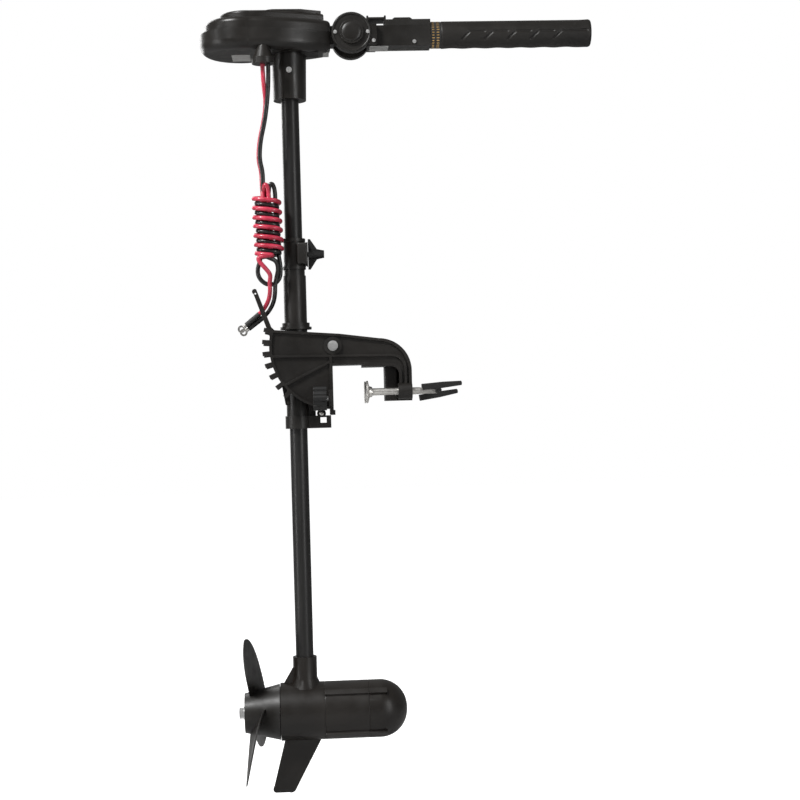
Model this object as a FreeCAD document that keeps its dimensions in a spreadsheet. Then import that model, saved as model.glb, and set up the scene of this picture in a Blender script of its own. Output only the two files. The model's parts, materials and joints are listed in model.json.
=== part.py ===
import FreeCAD, Part
import math
import os
import re
from types import SimpleNamespace
import Sketcher
from FreeCAD import Placement, Rotation, Vector

# A bow or transom mounted electric outboard with hand steering. Millimetres, +X into the boat,
# +Z up. The origin is the middle of the seat face that rests on the transom's top edge.

SIZES = {
    # Shaft and what runs on it
    "ShaftX": -80, "ShaftDia": 28, "ShaftBore": 23, "ShaftTop": 505, "ShaftFoot": -500,
    "RunningGap": 0.1, "SleeveDia": 36, "SleeveTop": 144, "NeckTop": 153.6, "NeckDia": 33,
    "FlangeDia": 50, "FlangeFoot": 58.5, "FlangeLength": 10.5, "SleeveFoot": -99,
    "LowerRingDia": 41, "LowerRingLength": 20, "BushDia": 32, "BushLength": 26,
    "CollarFoot": 154, "CollarLength": 49, "CollarDia": 33, "LipDia": 37, "LipLength": 5,
    "CollarBossDia": 16, "StudDia": 8, "DepthKnobTip": 12,
    # Tilt pivot and clamp bracket
    "PivotX": -23, "PivotZ": 30, "PivotDia": 10, "PivotBossDia": 30, "PivotHeadDia": 16,
    "BracketHalf": 46, "PlateInside": 38, "PlateWeb": 4, "PlateRib": 8, "YokeWidth": 76,
    "QuadrantRadius": 99.5, "ToothTip": 110.5, "ToothWidth": 6.5, "ToothPitch": 10,
    "ToothFirst": 14.5, "WallFace": -24, "WallBack": -29, "WallFoot": -78.5,
    "HookOuter": 100, "HookFoot": -59, "YokeLegWidth": 50,
    "SteadyY": -68.5, "SteadyZ": -52, "SteadyDia": 8, "SteadyKnobDia": 42,
    "SteadyKnobWidth": 21, "SteadyKnobAft": -56,
    # Tilt lock lever
    "LeverX": -108, "LeverZ": 40, "LeverPinDia": 5, "LockPinDia": 4, "LockReach": 98.14,
    "LockAngle": -82.5, "LeverBarWidth": 5, "LeverInside": 23,
    # Transom clamps
    "ClampZ": -44, "ClampSpacing": 84, "ScrewDia": 11, "ScrewEye": 141,
    "ScrewSpigotDia": 7, "PadFace": 28, "BossDia": 26, "BossLength": 22,
    "HandleWidth": 16, "HandlePinDia": 4,
    "EyeThickness": 5, "EyeSlot": 5.6,
    # Control head
    "HeadAft": -220, "HeadFront": -13, "HeadHalf": 62, "HeadRoundX": -140, "NoseHalf": 22,
    "HeadFoot": 495, "Parting": 524, "HeadTop": 547, "PanelTop": 559, "PanelRaise": 5,
    "HeadWall": 3, "LidDraft": 6, "SocketDia": 54, "SocketFoot": 423, "GlandX": -119.5,
    "GlandY": -50, "GlandDia": 36, "GlandFoot": 472, "LeadX": -116.5, "LeadDia": 7, "LeadGap": 9,
    # Tiller
    "TillerX": 20, "TillerZ": 525, "KnuckleDia": 48, "KnuckleWidth": 34, "CheekDia": 63,
    "CheekWidth": 14, "CheekCapDia": 38, "TillerPinDia": 8, "ArmStart": 45, "ArmEnd": 146.5,
    "ArmWidth": 40, "ArmHeight": 40, "InnerTubeDia": 22, "InnerTubeBore": 17, "RingDia": 42,
    "RingLength": 16, "GripStart": 163.3, "GripEnd": 405, "GripDia": 43,
    "ButtonWidth": 14,
    # Motor pod and propeller
    "PodZ": -549, "PodDia": 91, "PodBore": 83, "BellAft": -120, "BellFront": -50,
    "CaseFront": 20, "NoseStraight": 36, "NoseTip": 81, "PodSocketDia": 38,
    "PodSocketTop": -462, "BearingDia": 26, "BearingWidth": 8, "AxleDia": 10,
    "CoreDia": 54, "CoreLength": 58, "CommutatorDia": 24, "CommutatorLength": 18,
    "MagnetInside": 58, "HubAft": -177, "HubFront": -121, "PropDia": 254, "PropPitch": 115,
    "BladeThickness": 4.5, "SkegFoot": -677,
    # Wound bundle of the battery leads
    "HankX": -120, "HankY": -30, "HankFoot": 126, "HankTop": 288, "WrapFoot": 171,
    "WrapTop": 273,
}
S = SimpleNamespace(**SIZES)
UP = Vector(0, 0, 1)
ALONG_X = Vector(1, 0, 0)
ALONG_Y = Vector(0, 1, 0)
NODES = []

doc = FreeCAD.newDocument("TrollingMotor")
sheet = doc.addObject("Spreadsheet::Sheet", "Dimensions")
for row, (alias, number) in enumerate(SIZES.items(), start=1):
    sheet.set(f"A{row}", alias)
    sheet.set(f"B{row}", str(number))
    sheet.setAlias(f"B{row}", alias)
doc.recompute()


# ---- shared helpers -------------------------------------------------------------------------
def formula(text):
    """The text with each size's name pointing at its cell."""
    return re.sub(r"[A-Z]\w+", lambda found: "Dimensions." + found.group(0), text)


def bind(item, **sizes):
    """Set each property to a number, or tie it to the sheet where it is written as text."""
    for name, size in sizes.items():
        if isinstance(size, str):
            item.setExpression(name, formula(size))
        else:
            setattr(item, name, size)
    return item


def place(item, at, axis=UP):
    item.Placement = Placement(Vector(*at), Rotation(UP, Vector(*axis)))
    return item


def cylinder(at, axis, diameter, length):
    item = bind(doc.addObject("Part::Cylinder"), Radius=f"({diameter}) / 2", Height=length)
    return place(item, at, axis)


def cone(at, axis, first, last, length):
    item = doc.addObject("Part::Cone")
    bind(item, Radius1=f"({first}) / 2", Radius2=f"({last}) / 2", Height=length)
    return place(item, at, axis)


def box(low, length, width, height):
    item = doc.addObject("Part::Box")
    bind(item, Length=length, Width=width, Height=height)
    return place(item, low)


def span_box(low, high):
    """A box between two corners."""
    sizes = [b - a for a, b in zip(low, high)]
    return box(low, *sizes)


def fuse(*items):
    item = doc.addObject("Part::MultiFuse")
    item.Shapes = list(items)
    item.Refine = True
    return item


def cut(base, *tools):
    item = doc.addObject("Part::Cut")
    item.Base = base
    item.Tool = tools[0] if len(tools) == 1 else fuse(*tools)
    return item


def common(first, second):
    item = doc.addObject("Part::Common")
    item.Base = first
    item.Tool = second
    return item


def together(*items):
    """Separate solids that share a node."""
    item = doc.addObject("Part::Compound")
    item.Links = list(items)
    return item


def ring(at, axis, outer, inner, length):
    """A tube, with its bore cut past both ends."""
    start = Vector(*at) - Vector(*axis)
    bore = cylinder(start, axis, inner, f"{length} + 2")
    return cut(cylinder(at, axis, outer, length), bore)


def mirrored(item):
    """The same piece on the other side of the shaft's plane."""
    twin = doc.addObject("Part::Mirroring")
    twin.Source = item
    twin.Normal = ALONG_Y
    return twin


def node(label, item):
    item.Label = label
    NODES.append(item)
    return item


def body_plane(body, role):
    return next(part for part in body.Origin.OriginFeatures if part.Role == role)


def edge_end(sketch, edge, point):
    """Which end of a sketch edge lies on a point."""
    return 1 if (sketch.getPoint(edge, 1) - point).Length < 0.001 else 2


def add_loop(sketch, loop):
    """A closed outline: corners are pairs, and a third entry marks the middle of an arc."""
    corners = [Vector(p[0], p[1], 0) for p in loop]
    starts = [i for i, p in enumerate(loop) if len(p) == 2]
    edges = []
    for i, first in enumerate(starts):
        last = starts[(i + 1) % len(starts)]
        middle = (first + 1) % len(loop)
        if middle == last:
            shape = Part.LineSegment(corners[first], corners[last])
        else:
            shape = Part.Arc(corners[first], corners[middle], corners[last])
        edges.append(sketch.addGeometry(shape, False))
    joins = []
    for i, edge in enumerate(edges):
        corner = corners[starts[i]]
        before = edges[i - 1]
        joins.append((corner, before, edge_end(sketch, before, corner), edge,
                      edge_end(sketch, edge, corner)))
    for corner, before, there, edge, here in joins:
        sketch.addConstraint(Sketcher.Constraint("Coincident", before, there, edge, here))
        sketch.addConstraint(Sketcher.Constraint("DistanceX", -1, 1, edge, here, corner.x))
        sketch.addConstraint(Sketcher.Constraint("DistanceY", -1, 1, edge, here, corner.y))


def sketch_on(body, role, loops, offset=0):
    sketch = body.newObject("Sketcher::SketchObject", "Sketch")
    sketch.AttachmentSupport = [(body_plane(body, role), "")]
    sketch.MapMode = "FlatFace"
    sketch.AttachmentOffset = Placement(Vector(0, 0, offset), Rotation())
    for loop in loops:
        add_loop(sketch, loop)
    return sketch


def pad(body, role, loops, length, offset=0, symmetric=False):
    sketch = sketch_on(body, role, loops, offset)
    feature = bind(body.newObject("PartDesign::Pad", "Pad"), Length=length)
    feature.Profile = sketch
    if symmetric:
        feature.SideType = "Symmetric"
    return feature


def new_body():
    return doc.addObject("PartDesign::Body", "Body")


def slab(role, loops, length, offset=0, symmetric=False):
    body = new_body()
    pad(body, role, loops, length, offset, symmetric)
    return body


def turned(profile, at, axis):
    """A round piece: radius and height pairs, turned about the upright axis, then placed."""
    body = new_body()
    sketch = sketch_on(body, "XZ_Plane", [profile])
    feature = body.newObject("PartDesign::Revolution", "Revolution")
    feature.Profile = sketch
    feature.ReferenceAxis = (sketch, ["V_Axis"])
    feature.Angle = 360
    return place(body, at, axis)


def rounded(body, radius, chosen):
    """Fillet the edges of the body's last feature that a test picks."""
    doc.recompute()
    names = [f"Edge{i}" for i, edge in enumerate(body.Tip.Shape.Edges, start=1) if chosen(edge)]
    base = body.Tip
    feature = body.newObject("PartDesign::Fillet", "Fillet")
    feature.Base = (base, names)
    feature.Radius = radius
    return body


def level(height):
    """A test for edges that lie flat at one height of the body."""
    return lambda edge: edge.BoundBox.ZLength < 0.01 and abs(edge.BoundBox.ZMin - height) < 0.01


def polar(radius, degrees):
    """A point beside the tilt pivot: the angle is measured up from straight aft."""
    turn = math.radians(degrees)
    return S.PivotX - radius * math.cos(turn), S.PivotZ + radius * math.sin(turn)


def on_shaft(z):
    return (S.ShaftX, 0, z)


# ---- clamp bracket --------------------------------------------------------------------------
def tooth(index):
    """One tooth of the tilt quadrant, as a rectangle square to its radius."""
    degrees = S.ToothFirst - S.ToothPitch * index
    inner = Vector(*polar(S.QuadrantRadius - 2, degrees), 0)
    outer = Vector(*polar(S.ToothTip, degrees), 0)
    along = (outer - inner).normalize()
    side = Vector(-along.y, along.x, 0) * (S.ToothWidth / 2)
    return [(p.x, p.y) for p in (inner + side, outer + side, outer - side, inner - side)]


def side_outline():
    left = polar(S.QuadrantRadius, 15.7)
    middle = polar(S.QuadrantRadius, -35)
    corner_rise = math.sqrt(S.QuadrantRadius**2 - (S.WallBack - S.PivotX) ** 2)
    right = (S.WallBack, S.PivotZ - corner_rise)
    return [
        left, (*middle, "arc"), right, (S.WallBack, S.WallFoot), (-21.5, S.WallFoot),
        (-21.5, -71), (S.WallFace, -71), (S.WallFace, 0), (24, 0), (24, -4), (66, -4),
        (76, -8, "arc"), (80, -18), (80, S.HookFoot), (S.HookOuter, S.HookFoot), (100, -14),
        (86, 24, "arc"), (50, 40), (-12, 48.5),
    ]


def side_ribs():
    """The raised ribs: top edge and hook, middle rib, diagonal rib, rim, wall and seat edge."""
    left = polar(S.QuadrantRadius, 15.7)
    rim_end = polar(S.QuadrantRadius, -89.2)
    rim_end_in = polar(S.QuadrantRadius - 4, -89.2)
    left_in = polar(S.QuadrantRadius - 4, 15.7)
    top_edge = [
        left, (-12, 48.5), (50, 40), (86, 24, "arc"), (100, -14), (100, -32), (95.5, -32),
        (95.5, -14), (83, 20, "arc"), (49, 36), (-12, 44.5), (left[0] + 1, left[1] - 4),
    ]
    middle = [
        (-117, 17), (70, 15), (86, 8, "arc"), (92, -8), (92, -32), (88.5, -32),
        (88.5, -8), (83, 5, "arc"), (69, 11.5), (-118, 13.5),
    ]
    rim = [
        left, (*polar(S.QuadrantRadius, -40), "arc"), rim_end, rim_end_in,
        (*polar(S.QuadrantRadius - 4, -40), "arc"), left_in,
    ]
    seat = [
        (-29, 0), (24, 0), (24, -4), (66, -4), (76, -8, "arc"), (80, -18), (80, -32),
        (84, -32), (84, -17), (79, -4, "arc"), (68, 0.5), (28, 3), (-29, 3),
    ]
    return {
        "top": top_edge,
        "middle": middle,
        "diagonal": [(-26, 8), (-26, 4), (-99, -32), (-101, -28.5)],
        "rim": rim,
        "wall": [(-29, 14), (-29, -78.5), (-25, -78.5), (-25, 14)],
        "seat": seat,
    }


def near_side_body():
    """Near side plate: a thin web with ribs on its outer face, and the teeth on its rim."""
    body = new_body()
    web_centre = -(S.PlateInside + S.PlateWeb / 2)
    rib_centre = -(S.PlateInside + S.PlateRib / 2)
    pad(body, "XZ_Plane", [side_outline()], "PlateWeb", -web_centre, True)
    for loop in side_ribs().values():
        pad(body, "XZ_Plane", [loop], "PlateRib", -rib_centre, True)
    pad(body, "XZ_Plane", [tooth(i) for i in range(7)], "PlateRib", -rib_centre, True)
    return body


def side_plate():
    """What the two sides share: the ribbed plate, the clamp boss and the pivot's boss."""
    screw_y = -S.ClampSpacing / 2
    boss_end = (S.HookOuter - S.BossLength, screw_y, S.ClampZ)
    boss = cylinder(boss_end, ALONG_X, "BossDia", "BossLength")
    face = -S.BracketHalf + 0.5
    pivot_boss = cylinder((S.PivotX, face, S.PivotZ), ALONG_Y, "PivotHeadDia + 12", 5)
    screw_hole = cylinder((50, screw_y, S.ClampZ), ALONG_X, "ScrewDia + 0.16", 70)
    pivot_hole = cylinder((S.PivotX, -60, S.PivotZ), ALONG_Y, "PivotDia", 40)
    return cut(fuse(near_side_body(), boss, pivot_boss), screw_hole, pivot_hole)


def near_side(plate):
    """The near plate also has a lug beside the transom wall for the steady screw."""
    lug = span_box((-32, S.SteadyY - 11, S.SteadyZ - 13), (-25, -45, S.SteadyZ + 13))
    thread = cylinder((-40, S.SteadyY, S.SteadyZ), ALONG_X, "SteadyDia + 0.16", 30)
    return cut(fuse(plate, lug), thread)


def bracket_yoke():
    """The cross pieces between the side plates: top skin, seat, transom wall and hook leg."""
    top = slab("XZ_Plane", [[
        (-15, 48.6), (50, 39.7), (85, 23.6, "arc"), (99.5, -14), (99.5, -59), (95.5, -59),
        (95.5, -14), (82, 20, "arc"), (49, 35.5), (-15, 44.5),
    ]], "YokeWidth", symmetric=True)
    seat = slab("XZ_Plane", [[
        (-29, 4), (-29, -78.5), (-21.5, -78.5), (-21.5, -71), (-24, -71), (-24, 0), (24, 0),
        (24, -4), (79, -4), (79, 0), (28, 4),
    ]], "YokeWidth", symmetric=True)
    leg = slab("XZ_Plane", [[
        (59, -3), (59, -59), (77.5, -59), (77.5, -3),
    ]], "YokeLegWidth - 2", symmetric=True)
    floor = slab("XZ_Plane", [[
        (77, -59), (77, -55), (97, -55), (97, -59),
    ]], "YokeLegWidth - 14", symmetric=True)
    rails = [span_box((-4, y, 3), (72, y + 4, 22)) for y in (-34, 30)]
    room = [
        cylinder((S.HookOuter - S.BossLength - 0.1, y, S.ClampZ), ALONG_X, "BossDia + 0.2", 24)
        for y in (-S.ClampSpacing / 2, S.ClampSpacing / 2)
    ]
    return cut(fuse(top, seat, leg, floor, *rails), *room)


def hexagon(at, axis, across, length):
    item = bind(doc.addObject("Part::Prism"), Polygon=6, Circumradius=across / math.sqrt(3))
    item.Height = length
    return place(item, at, axis)


def pivot_bolt():
    shank = cylinder((S.PivotX, -50, S.PivotZ), ALONG_Y, "PivotDia", 106)
    head = cylinder((S.PivotX, -52.5, S.PivotZ), ALONG_Y, "PivotHeadDia - 4", 4)
    return fuse(shank, head)


def bracket_nuts():
    """A washer on each side of the pivot, and its nut."""
    near = ring((S.PivotX, -48.4, S.PivotZ), ALONG_Y, "PivotHeadDia", "PivotDia", 2.4)
    far = ring((S.PivotX, 46, S.PivotZ), ALONG_Y, "PivotHeadDia", "PivotDia", 2)
    nut = cut(
        hexagon((S.PivotX, 48, S.PivotZ), ALONG_Y, 16, 7),
        cylinder((S.PivotX, 47, S.PivotZ), ALONG_Y, "PivotDia", 9),
    )
    return together(near, far, nut)


def steady_knob():
    """A knob with six rounded lobes on the aft end of the steady screw."""
    at = (S.SteadyKnobAft, S.SteadyY, S.SteadyZ)
    core = cylinder(at, ALONG_X, "SteadyKnobDia - 8", "SteadyKnobWidth")
    lobes = []
    for i in range(6):
        turn = math.radians(60 * i)
        lobe_at = (at[0], at[1] + 15 * math.cos(turn), at[2] + 15 * math.sin(turn))
        lobes.append(cylinder(lobe_at, ALONG_X, 12, "SteadyKnobWidth"))
    bore = cylinder((at[0] + 5, at[1], at[2]), ALONG_X, "SteadyDia", 30)
    return cut(fuse(core, *lobes), bore)


def steady_screw():
    return cylinder((S.SteadyKnobAft + 5, S.SteadyY, S.SteadyZ), ALONG_X, "SteadyDia", 25.6)


# ---- swivel ---------------------------------------------------------------------------------
def swivel_body():
    """Upper sleeve, pivot boss and lower ring in one moulding round the shaft."""
    length = S.NeckTop - S.SleeveFoot
    parts = [
        cylinder(on_shaft(S.SleeveFoot), UP, "SleeveDia", S.SleeveTop - S.SleeveFoot),
        cylinder(on_shaft(S.SleeveTop - 1), UP, "NeckDia", S.NeckTop - S.SleeveTop + 1),
        cylinder(on_shaft(S.FlangeFoot), UP, "FlangeDia - 6", "FlangeLength"),
        cylinder(on_shaft(S.FlangeFoot), UP, "FlangeDia", 4),
        cylinder(on_shaft(S.SleeveFoot), UP, "LowerRingDia", "LowerRingLength"),
        cylinder((S.PivotX, -37.4, S.PivotZ), ALONG_Y, "PivotBossDia", 74.8),
        span_box((-70, -15, 21.5), (S.PivotX, 15, 38.5)),
        span_box((-70, -12, S.SleeveFoot), (-28, 12, -79.3)),
        cylinder((-43, -12, -76), ALONG_Y, 14, 24),
        span_box((-70, -5, -79.5), (-52, 5, -30)),
        span_box((-115, -20, 32), (-90, -13, 48)),
        span_box((-115, 13, 32), (-90, 20, 48)),
    ]
    cuts = [
        cylinder(on_shaft(S.SleeveFoot - 1), UP, "ShaftDia + 1.4", length + 2),
        cylinder(on_shaft(S.SleeveFoot - 1), UP, "BushDia", "BushLength + 1"),
        cylinder(on_shaft(112), UP, "BushDia", "BushLength"),
        cylinder((S.PivotX, -50, S.PivotZ), ALONG_Y, "PivotDia + RunningGap", 100),
        span_box((-45, -20, -91), (-35, 20, -82)),
        cylinder((S.LeverX, -30, S.LeverZ), ALONG_Y, "LeverPinDia", 60),
    ]
    return cut(fuse(*parts), *cuts)


def swivel_bushes():
    low = ring(on_shaft(S.SleeveFoot), UP, "BushDia", "ShaftDia + RunningGap", "BushLength")
    high = ring(on_shaft(112), UP, "BushDia", "ShaftDia + RunningGap", "BushLength")
    return together(low, high)


def lever_pin():
    return cylinder((S.LeverX, -31, S.LeverZ), ALONG_Y, "LeverPinDia", 62)


def lever_bar(y, corners):
    """One flat side of the tilt lever, drawn as a bent bar of even width."""
    centre = y + math.copysign(S.LeverBarWidth / 2, y)
    return slab("XZ_Plane", [corners], "LeverBarWidth", -centre, True)


def tilt_lever():
    """A yoke that straddles the sleeve: a near bar rising to the finger end, a far bar, a bridge
    and two side pins that drop into the gaps between the quadrant's teeth."""
    turn = math.radians(S.LockAngle)
    lock = (S.LeverX + S.LockReach * math.cos(turn), S.LeverZ + S.LockReach * math.sin(turn))
    lower = [
        (S.LeverX + 6, S.LeverZ), (lock[0] + 4, lock[1] - 4), (lock[0] - 4, lock[1] - 4),
        (S.LeverX - 7, S.LeverZ - 10),
    ]
    upper = [
        (-140.5, 122), (-147, 120.5, "arc"), (-145.2, 115), (-126, 60), (-117, 34), (-101, 34),
        (-102, 46), (-118.5, 62),
    ]
    near = fuse(lever_bar(-S.LeverInside, lower), lever_bar(-S.LeverInside, upper))
    far = lever_bar(S.LeverInside, lower)
    bridge = cylinder((S.LeverX, -28, S.LeverZ - 22), ALONG_Y, 6, 56)
    pins = [
        cylinder((lock[0], y, lock[1]), ALONG_Y, "LockPinDia", 20) for y in (-45, 25)
    ]
    hole = cylinder((-142.3, -40, 115.5), ALONG_Y, 3, 30)
    bore = cylinder((S.LeverX, -40, S.LeverZ), ALONG_Y, "LeverPinDia + RunningGap", 80)
    return cut(fuse(near, far, bridge, *pins), hole, bore)


# ---- depth collar ---------------------------------------------------------------------------
def depth_collar():
    top = S.CollarFoot + S.CollarLength
    outer = fuse(
        cylinder(on_shaft(S.CollarFoot), UP, "CollarDia", "CollarLength"),
        cylinder(on_shaft(S.CollarFoot), UP, "LipDia", "LipLength"),
        cylinder(on_shaft(top - S.LipLength), UP, "LipDia", "LipLength"),
        cylinder((S.ShaftX, 0, 178), ALONG_X, "CollarBossDia", 22),
    )
    bore = cylinder(on_shaft(S.CollarFoot - 1), UP, "ShaftDia + RunningGap", "CollarLength + 2")
    thread = cylinder((S.ShaftX, 0, 178), ALONG_X, "StudDia + 0.16", 40)
    return cut(outer, bore, thread)


def depth_stud():
    return cylinder((-65.6, 0, 178), ALONG_X, "StudDia", 26)


def depth_knob():
    """A wing knob, wide at its base and narrow at its tip."""
    wing = slab("XZ_Plane", [[
        (-57.5, 178 - 24), (-57.5, 178 + 24), (-54, 178 + 24), (-43.5, 178 + 8),
        (-32, 178 + 5.5), (-32, 178 - 5.5), (-43.5, 178 - 8), (-54, 178 - 24),
    ]], 8, symmetric=True)
    core = cone((-57.5, 0, 178), ALONG_X, 20, "DepthKnobTip", 25.5)
    bore = cylinder((-58, 0, 178), ALONG_X, "StudDia", 18.4)
    return cut(fuse(wing, core), bore)


# ---- transom clamps -------------------------------------------------------------------------
def clamp_pad(y):
    """A dished pad on the screw's spigot."""
    profile = [(0, 0), (6, 1), (17.5, 0), (17.5, 2.5), (9, 4.5), (7.5, 9), (0, 9)]
    pad_body = turned(profile, (S.PadFace, y, S.ClampZ), ALONG_X)
    socket = cylinder((S.PadFace + 3, y, S.ClampZ), ALONG_X, "ScrewSpigotDia + RunningGap", 20)
    return cut(pad_body, socket)


def clamp_screw(y):
    spigot = cylinder((S.PadFace + 3.5, y, S.ClampZ), ALONG_X, "ScrewSpigotDia", 8)
    shank = cylinder((S.PadFace + 9.3, y, S.ClampZ), ALONG_X, "ScrewDia", 74.7)
    flat = span_box((111, y - 2.5, S.ClampZ - 5), (S.ScrewEye, y + 2.5, S.ClampZ + 5))
    eye = cylinder((S.ScrewEye, y - 2.5, S.ClampZ), ALONG_Y, 10, "EyeThickness")
    pin_hole = cylinder((S.ScrewEye, y - 5, S.ClampZ), ALONG_Y, "HandlePinDia + RunningGap", 10)
    return cut(fuse(spigot, shank, flat, eye), pin_hole)


def clamp_handle(y, lean, turn):
    """A folding handle: a tapered bar beside its pin, slotted to straddle the screw's flat end."""
    bar = slab("XZ_Plane", [[
        (-25, 2.5), (-25, 12.5), (8, 12.5), (37, 11), (38, 7.5, "arc"), (37, 4), (6, 2.5),
    ]], "HandleWidth", symmetric=True)
    ears = cylinder((0, -S.HandleWidth / 2, 0), ALONG_Y, 10, "HandleWidth")
    slot = span_box((-30, -S.EyeSlot / 2, -10), (8, S.EyeSlot / 2, 9.5))
    pin_hole = cylinder((0, -20, 0), ALONG_Y, "HandlePinDia", 40)
    item = cut(fuse(bar, ears), slot, pin_hole)
    twist = Rotation(ALONG_Y, lean).multiply(Rotation(ALONG_X, turn))
    item.Placement = Placement(Vector(S.ScrewEye, y, S.ClampZ), twist)
    return item


def handle_pin(y):
    return cylinder((S.ScrewEye, y - 7.5, S.ClampZ), ALONG_Y, "HandlePinDia", 15)


# ---- shaft and control head -----------------------------------------------------------------
def shaft_tube():
    tube = ring(on_shaft(S.ShaftFoot), UP, "ShaftDia", "ShaftBore", "ShaftTop - ShaftFoot")
    return cut(tube, cylinder((S.ShaftX, -40, 467), ALONG_Y, 5, 80))


def head_outline(inset, draft=0):
    """The head seen from above: a long drop, round aft and narrow at the tiller.

    The draft narrows the sides and the aft end but leaves the front where it is."""
    half = S.HeadHalf - inset - draft
    nose = S.NoseHalf - inset - draft / 3
    front = S.HeadFront - inset
    aft = S.HeadAft + inset + 1.3 * draft
    return [
        (front, nose), (-72, half - 9, "arc"), (S.HeadRoundX, half), (aft, 0, "arc"),
        (S.HeadRoundX, -half), (-72, 9 - half, "arc"), (front, -nose),
    ]


def head_lower_case():
    height = S.Parting - S.HeadFoot
    floor = S.HeadFoot + S.HeadWall
    outer = rounded(slab("XY_Plane", [head_outline(0)], height, S.HeadFoot), 16, level(S.HeadFoot))
    inner = rounded(slab("XY_Plane", [head_outline(S.HeadWall)], height, floor), 13, level(floor))
    socket = cone(on_shaft(S.SocketFoot), UP, "SocketDia - 2", "SocketDia + 2", 85)
    gland = fuse(
        cylinder((S.GlandX, S.GlandY, S.GlandFoot), UP, "GlandDia", 9),
        cone((S.GlandX, S.GlandY, S.GlandFoot + 8.9), UP, "GlandDia - 2", "6", 32),
    )
    shell = fuse(cut(outer, inner), common(gland, under_parting()), socket)
    shaft_bore = cylinder(on_shaft(S.SocketFoot - 1), UP, "ShaftDia", 90)
    gland_hole = cylinder((S.GlandX, S.GlandY, S.GlandFoot - 1), UP, 28, 16)
    screw_hole = cylinder((S.ShaftX, -40, 467), ALONG_Y, 5, 80)
    neck = span_box((-15, -16, 509), (-8, 16, S.Parting - 0.5))
    near_end = (S.TillerX, -S.KnuckleWidth / 2, S.TillerZ)
    knuckle = cylinder(near_end, ALONG_Y, "KnuckleDia", "KnuckleWidth")
    link = span_box((-14, -S.KnuckleWidth / 2, 512), (S.TillerX, S.KnuckleWidth / 2, 538))
    opening = cylinder((S.TillerX, -30, S.TillerZ), ALONG_Y, "TillerPinDia + RunningGap", 60)
    lid_room = span_box((-200, -70, S.Parting), (-12.9, 70, 560))
    return cut(fuse(cut(fuse(shell, neck, link), lid_room), knuckle), shaft_bore, gland_hole,
               screw_hole, opening)


def under_parting():
    return span_box((-200, -100, 470), (0, 0, S.Parting))


def head_upper_case():
    """The lid: a thin flange on the lower case's rim, and a smaller domed shell."""
    height = S.HeadTop - S.Parting
    start = S.Parting - S.HeadWall
    flange = slab("XY_Plane", [head_outline(0.6)], 3, S.Parting)
    dome = slab("XY_Plane", [head_outline(0, S.LidDraft)], height, S.Parting)
    rounded(dome, 9, level(S.HeadTop))
    inner = slab("XY_Plane", [head_outline(S.HeadWall, S.LidDraft)], height, start)
    return fuse(cut(dome, inner), cut(flange, inner))


def top_panel():
    """Two flat layers on the lid."""
    low = slab("XY_Plane", [panel_outline(20)], S.PanelTop - S.HeadTop, S.HeadTop)
    rounded(low, 4, level(S.PanelTop))
    high = slab("XY_Plane", [[
        (-27, 9), (-60, 23), (-104, 24), (-123, 0, "arc"), (-104, -24), (-60, -23), (-27, -9),
    ]], S.PanelRaise, S.PanelTop)
    return fuse(low, high)


def panel_outline(inset):
    half = S.HeadHalf - inset
    front = S.HeadFront - inset / 2
    aft = S.HeadAft + 1.6 * inset
    return [
        (front, 12), (S.HeadRoundX + 30, half), (S.HeadRoundX, half), (aft, 0, "arc"),
        (S.HeadRoundX, -half), (S.HeadRoundX + 30, -half), (front, -12),
    ]


def control_board():
    """The speed controller's board with its relay and heat sink."""
    board = span_box((-197, -28, 512), (-120, 28, 514))
    relay = span_box((-190, -20, 514), (-165, 10, 530))
    sink = span_box((-150, -22, 514), (-128, 22, 526))
    return fuse(board, relay, sink)


def case_screws():
    """Four screws that hold the halves of the head together from below."""
    spots = [(-180, -33.5), (-180, 33.5), (-58, -24.5), (-58, 24.5)]
    return together(*[
        fuse(
            cylinder((x, y, S.HeadFoot + 3), UP, 3.4, 24),
            cylinder((x, y, S.HeadFoot + 3), UP, 6.4, 2.5),
        )
        for x, y in spots
    ])


def socket_screw():
    shank = cylinder((S.ShaftX, -28, 467), ALONG_Y, 5, 60)
    head = cylinder((S.ShaftX, -30.2, 467), ALONG_Y, 9, 3)
    nut = hexagon((S.ShaftX, 27.6, 467), ALONG_Y, 8, 4)
    return fuse(shank, head, nut)


def lead_grommet():
    """Rubber grommet with one hole for each lead."""
    plug = cylinder((S.GlandX, S.GlandY, S.GlandFoot), UP, 28, 12)
    holes = [
        cylinder((S.LeadX + dx, S.GlandY, S.GlandFoot - 1), UP, "LeadDia", 14)
        for dx in (-S.LeadGap / 2, S.LeadGap / 2)
    ]
    return cut(plug, *holes)


# ---- tiller ---------------------------------------------------------------------------------
def tiller_cheek(side):
    first = S.KnuckleWidth / 2 + 0.4
    start = first if side > 0 else -first - S.CheekWidth
    return cylinder((S.TillerX, start, S.TillerZ), ALONG_Y, "CheekDia", "CheekWidth")


def tiller_arm():
    """Lower half of the arm with a cheek each side of the head's knuckle."""
    low = S.TillerZ - S.ArmHeight / 2
    block = span_box((S.ArmStart, -S.ArmWidth / 2, low), (S.ArmEnd, S.ArmWidth / 2, S.TillerZ + 12))
    webs = [
        span_box((30, y, S.TillerZ - 19), (60, y + 13, S.TillerZ + 12)) for y in (-31, 18)
    ]
    whole = fuse(block, *webs, tiller_cheek(1), tiller_cheek(-1))
    knuckle_room = cylinder((S.TillerX, -S.KnuckleWidth / 2 - 0.4, S.TillerZ), ALONG_Y,
                            "KnuckleDia + 1", S.KnuckleWidth + 0.8)
    slide = cylinder((S.ArmStart + 4, 0, S.TillerZ), ALONG_X, "InnerTubeDia + RunningGap", 120)
    pin_hole = cylinder((S.TillerX, -40, S.TillerZ), ALONG_Y, "TillerPinDia", 80)
    return cut(whole, knuckle_room, slide, pin_hole)


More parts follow.
